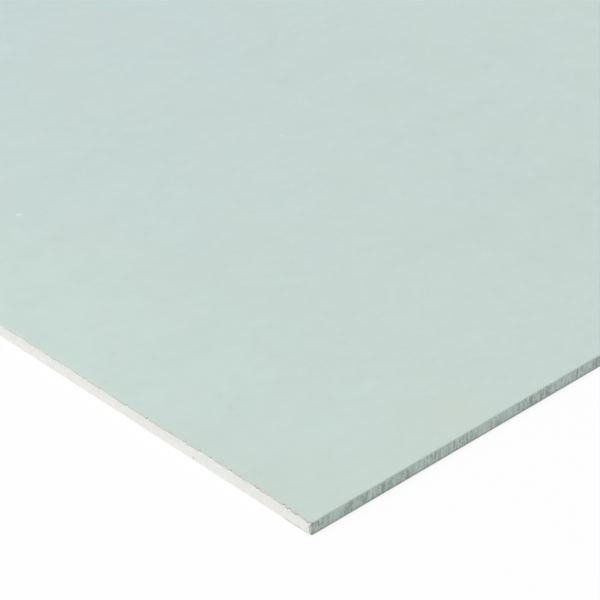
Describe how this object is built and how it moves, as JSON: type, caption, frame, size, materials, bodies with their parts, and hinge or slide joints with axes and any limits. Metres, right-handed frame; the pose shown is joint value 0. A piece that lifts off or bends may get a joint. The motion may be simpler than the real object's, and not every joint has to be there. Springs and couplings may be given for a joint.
{
  "type": "moisture-resistant drywall sheet",
  "caption": "Flat gypsum board with a pale green face paper wrapped round its square long edges, white sawn ends and a grey back paper; lines walls and ceilings.",
  "frame": {"origin": "middle of the back, in the plane of the back paper that the sheet rests on", "axes": "+X along the 2400 mm length, +Y across the 1200 mm width, +Z out of the green face"},
  "size_m": [2.4, 1.2, 0.0125],
  "materials": {
    "gypsum": "matte",
    "green_face_paper": "matte",
    "grey_back_paper": "matte"
  },
  "bodies": {
    "root": {"gypsum_core": "gypsum", "face_paper": "green_face_paper", "back_paper": "grey_back_paper"}
  },
  "joints": []
}
